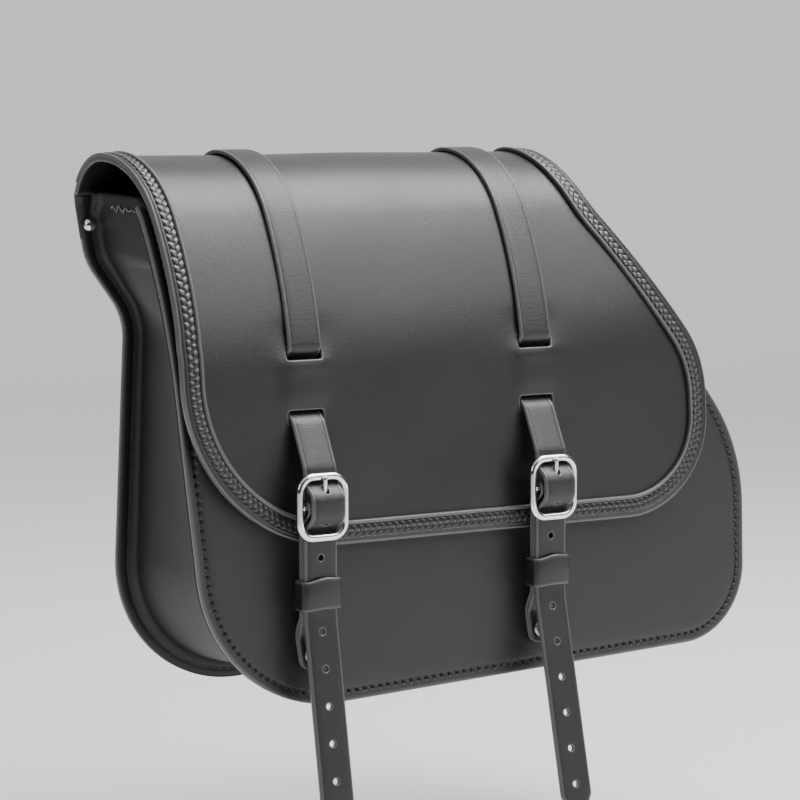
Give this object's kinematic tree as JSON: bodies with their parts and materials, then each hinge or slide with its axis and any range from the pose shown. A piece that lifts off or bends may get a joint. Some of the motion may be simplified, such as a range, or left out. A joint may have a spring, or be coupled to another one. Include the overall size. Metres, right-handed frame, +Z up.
{
  "type": "motorcycle saddlebag",
  "caption": "Rigid black leather saddlebag for a motorcycle: slanted gusseted body, arched lid with braided border, two buckled straps with hanging ends.",
  "frame": {"origin": "centre of the four mounting eyelets, in the plane of their faces on the back panel", "axes": "+X along the bag towards the motorcycle's tail, +Y out of the bag's back into the motorcycle, +Z up"},
  "size_m": [0.4753, 0.2052, 0.4661],
  "materials": {
    "body_leather": "smooth finished leather, soft satin sheen",
    "gusset_leather": "smooth finished leather, slightly duller than the front",
    "lid_leather": "smooth finished leather, soft satin sheen",
    "trim_leather": "embossed trim, satin with burnished edges",
    "lacing_leather": "braided leather lace, satin",
    "strap_leather": "firm strap leather, satin with burnished edges",
    "keeper_leather": "firm strap leather, satin",
    "chrome": "polished",
    "plated_brass": "nickel plated",
    "plate_steel": "zinc plated",
    "thread": "waxed sewing thread"
  },
  "bodies": {
    "bag": {"back_panel": "body_leather", "back_stiffener": "plate_steel", "mount_eyelets": "plated_brass", "gusset": "gusset_leather", "gusset_back_flange": "gusset_leather", "gusset_front_flange": "gusset_leather", "front_panel": "body_leather", "corner_rivets": "chrome", "stud_posts": "chrome"},
    "lid": {"lid_panel": "lid_leather", "lid_border": "trim_leather", "lid_lacing": "lacing_leather", "left_strap_upper": "strap_leather", "right_strap_upper": "strap_leather", "strap_rivets": "chrome"},
    "left_strap": {"left_billet": "strap_leather", "left_buckle_strap": "strap_leather", "left_stud_socket": "chrome", "left_buckle": "chrome"},
    "left_prong": {"left_prong": "chrome"},
    "left_keeper": {"left_keeper": "keeper_leather"},
    "left_tail": {"left_strap_tail": "strap_leather"},
    "right_strap": {"right_billet": "strap_leather", "right_buckle_strap": "strap_leather", "right_stud_socket": "chrome", "right_buckle": "chrome"},
    "right_prong": {"right_prong": "chrome"},
    "right_keeper": {"right_keeper": "keeper_leather"},
    "right_tail": {"right_strap_tail": "strap_leather"}
  },
  "joints": [
    {"name": "lid_hinge", "type": "hinge", "parent": "bag", "child": "lid", "pos_m": [0, -0.0028, 0.136], "axis": [-1, 0, 0], "range_deg": [0, 110]},
    {"name": "left_strap_swing", "type": "hinge", "parent": "lid", "child": "left_strap", "pos_m": [-0.1125, -0.1506, -0.006], "axis": [-1, 0, 0], "range_deg": [0, 80]},
    {"name": "left_prong_pivot", "type": "hinge", "parent": "left_strap", "child": "left_prong", "pos_m": [-0.1125, -0.1671, -0.0555], "axis": [1, 0, 0], "range_deg": [0, 6]},
    {"name": "left_keeper_slide", "type": "slide", "parent": "left_strap", "child": "left_keeper", "axis": [0, 0, 1], "range_m": [0, 0.014]},
    {"name": "left_tail_bend", "type": "hinge", "parent": "left_strap", "child": "left_tail", "pos_m": [-0.1125, -0.1632, -0.131], "axis": [-1, 0, 0], "range_deg": [-8, 70], "stiffness_Nm_per_rad": 0.06},
    {"name": "right_strap_swing", "type": "hinge", "parent": "lid", "child": "right_strap", "pos_m": [0.0725, -0.1506, -0.006], "axis": [-1, 0, 0], "range_deg": [0, 80]},
    {"name": "right_prong_pivot", "type": "hinge", "parent": "right_strap", "child": "right_prong", "pos_m": [0.0725, -0.1671, -0.0555], "axis": [1, 0, 0], "range_deg": [0, 6]},
    {"name": "right_keeper_slide", "type": "slide", "parent": "right_strap", "child": "right_keeper", "axis": [0, 0, 1], "range_m": [0, 0.014]},
    {"name": "right_tail_bend", "type": "hinge", "parent": "right_strap", "child": "right_tail", "pos_m": [0.0725, -0.1632, -0.131], "axis": [-1, 0, 0], "range_deg": [-8, 70], "stiffness_Nm_per_rad": 0.06}
  ]
}
